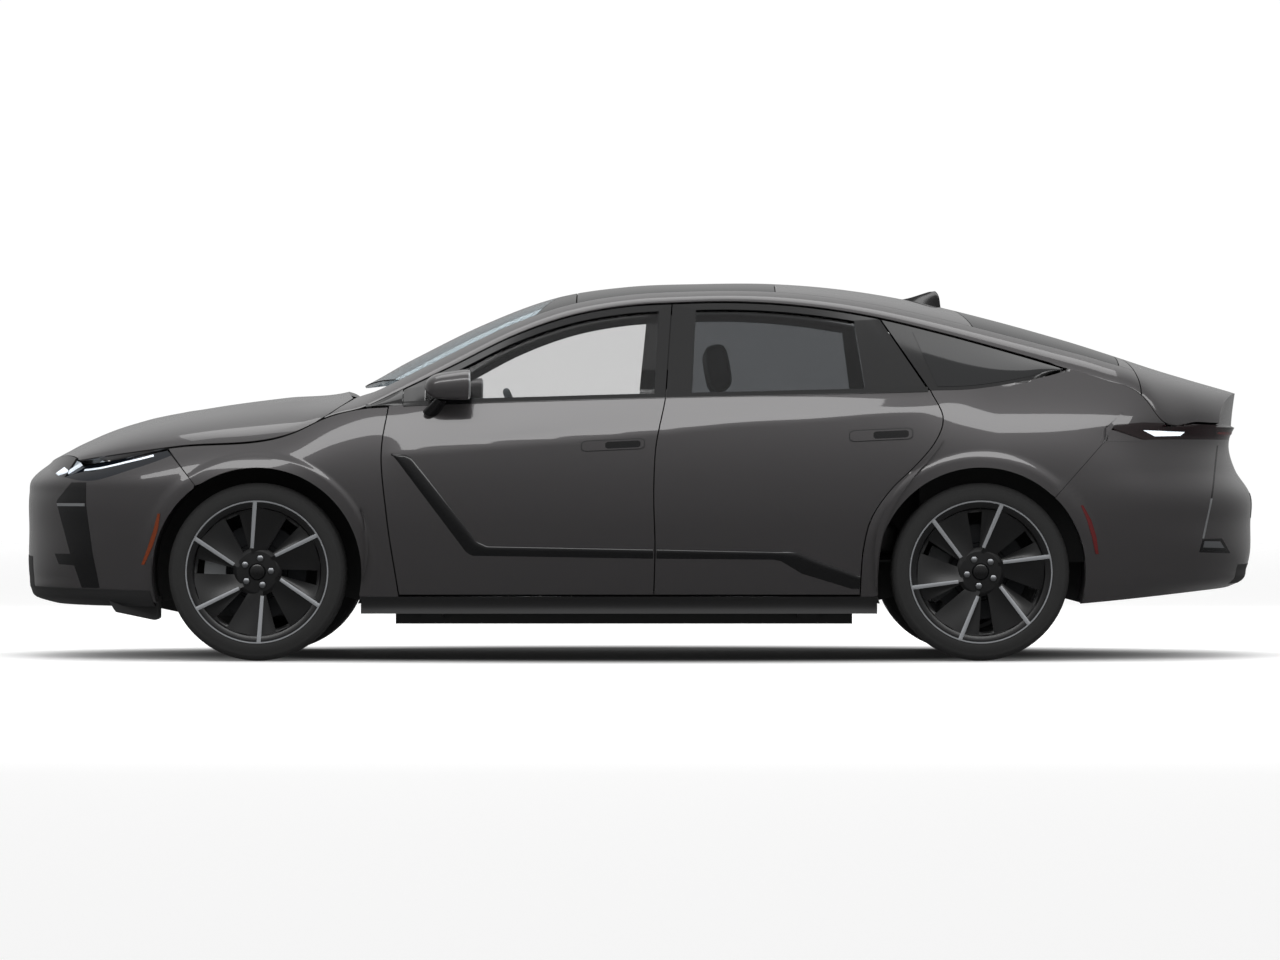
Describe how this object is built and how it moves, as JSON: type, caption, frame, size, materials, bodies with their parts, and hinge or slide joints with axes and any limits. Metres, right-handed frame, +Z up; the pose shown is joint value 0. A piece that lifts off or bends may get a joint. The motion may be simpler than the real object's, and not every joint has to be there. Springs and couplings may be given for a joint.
{
  "type": "luxury sedan",
  "caption": "Large electric luxury sedan with opening doors, hood and trunk lid, steered front wheels, hollow cabin with seats and jacking pads underneath.",
  "frame": {"origin": "on the ground under the middle of the box", "axes": "+X towards the tail, +Y to the car's right, +Z up"},
  "size_m": [5.1476, 2.129, 1.5653],
  "materials": {
    "paint": "metallic gloss",
    "black_trim": "gloss",
    "underbody": "matte",
    "glass_clear": "clear tint",
    "glass_dark": "privacy tint",
    "lamp_front": "clear",
    "lamp_rear": "red lens",
    "wheel": "gloss black with machined edges",
    "tyre": "matte",
    "steel": "bare",
    "cast": "rough",
    "aluminium": "cast",
    "cabin_dark": "grained",
    "leather": "fine grain"
  },
  "bodies": {
    "body": {"floor_pan": "underbody", "sills": "black_trim", "battery_pack": "aluminium", "drive_units": "aluminium", "front_axle": "cast", "rear_axle": "cast", "bulkhead": "underbody", "trunk_tub": "underbody", "fender_left": "paint", "fender_right": "paint", "rail_left": "paint", "rail_right": "paint", "b_pillars": "black_trim", "quarter_left": "paint", "quarter_right": "paint", "roof_panel": "paint", "roof_glass": "glass_dark", "windshield": "glass_clear", "rear_window": "glass_dark", "quarter_glass": "glass_dark", "front_bumper": "paint", "headlamps": "lamp_front", "rear_bumper": "paint", "tail_lamps": "lamp_rear", "dashboard": "cabin_dark", "front_seats": "leather", "rear_bench": "leather", "hinge_pins": "steel"},
    "knuckle_left": {"knuckle_left": "cast"},
    "knuckle_right": {"knuckle_right": "cast"},
    "wheel_front_left": {"wheel_front_left": "wheel", "tyre_front_left": "tyre"},
    "wheel_front_right": {"wheel_front_right": "wheel", "tyre_front_right": "tyre"},
    "wheel_rear_left": {"wheel_rear_left": "wheel", "tyre_rear_left": "tyre"},
    "wheel_rear_right": {"wheel_rear_right": "wheel", "tyre_rear_right": "tyre"},
    "door_front_left": {"door_front_left": "paint", "glass_front_left": "glass_clear", "mirror_left": "paint"},
    "door_front_right": {"door_front_right": "paint", "glass_front_right": "glass_clear", "mirror_right": "paint"},
    "door_rear_left": {"door_rear_left": "paint", "glass_rear_left": "glass_dark"},
    "door_rear_right": {"door_rear_right": "paint", "glass_rear_right": "glass_dark"},
    "hood": {"hood": "paint"},
    "trunk_lid": {"trunk_lid": "paint"},
    "steering_wheel": {"steering_wheel": "leather"}
  },
  "joints": [
    {"name": "steer_left", "type": "hinge", "parent": "body", "child": "knuckle_left", "pos_m": [-1.561, -0.741, 0.364], "axis": [0, 0, 1], "range_deg": [-35, 35]},
    {"name": "steer_right", "type": "hinge", "parent": "body", "child": "knuckle_right", "pos_m": [-1.561, 0.741, 0.364], "axis": [0, 0, 1], "range_deg": [-35, 35]},
    {"name": "spin_front_left", "type": "hinge", "parent": "knuckle_left", "child": "wheel_front_left", "pos_m": [-1.561, -0.825, 0.364], "axis": [0, 1, 0], "continuous": true},
    {"name": "spin_front_right", "type": "hinge", "parent": "knuckle_right", "child": "wheel_front_right", "pos_m": [-1.561, 0.825, 0.364], "axis": [0, 1, 0], "continuous": true},
    {"name": "spin_rear_left", "type": "hinge", "parent": "body", "child": "wheel_rear_left", "pos_m": [1.389, -0.825, 0.364], "axis": [0, 1, 0], "continuous": true},
    {"name": "spin_rear_right", "type": "hinge", "parent": "body", "child": "wheel_rear_right", "pos_m": [1.389, 0.825, 0.364], "axis": [0, 1, 0], "continuous": true},
    {"name": "swing_front_left", "type": "hinge", "parent": "body", "child": "door_front_left", "pos_m": [-0.97097, -0.89824, 0.6], "axis": [0, 0, -1], "range_deg": [0, 65]},
    {"name": "swing_front_right", "type": "hinge", "parent": "body", "child": "door_front_right", "pos_m": [-0.97097, 0.89824, 0.6], "axis": [0, 0, 1], "range_deg": [0, 65]},
    {"name": "swing_rear_left", "type": "hinge", "parent": "body", "child": "door_rear_left", "pos_m": [0.12276, -0.89535, 0.6], "axis": [0, 0, -1], "range_deg": [0, 70]},
    {"name": "swing_rear_right", "type": "hinge", "parent": "body", "child": "door_rear_right", "pos_m": [0.12276, 0.89535, 0.6], "axis": [0, 0, 1], "range_deg": [0, 70]},
    {"name": "lift_hood", "type": "hinge", "parent": "body", "child": "hood", "pos_m": [-1.196, 0, 1.05324], "axis": [0, 1, 0], "range_deg": [0, 50]},
    {"name": "lift_trunk", "type": "hinge", "parent": "body", "child": "trunk_lid", "pos_m": [2.04, 0, 1.18415], "axis": [0, -1, 0], "range_deg": [0, 70]},
    {"name": "turn_steering_wheel", "type": "hinge", "parent": "body", "child": "steering_wheel", "pos_m": [-0.49, -0.37, 0.94167], "axis": [0.9272, 0, 0.3746], "range_deg": [-455, 455]}
  ],
  "couplings": [
    {"joint": "steer_right", "follows": "steer_left", "ratio": 1},
    {"joint": "turn_steering_wheel", "follows": "steer_left", "ratio": 13}
  ]
}
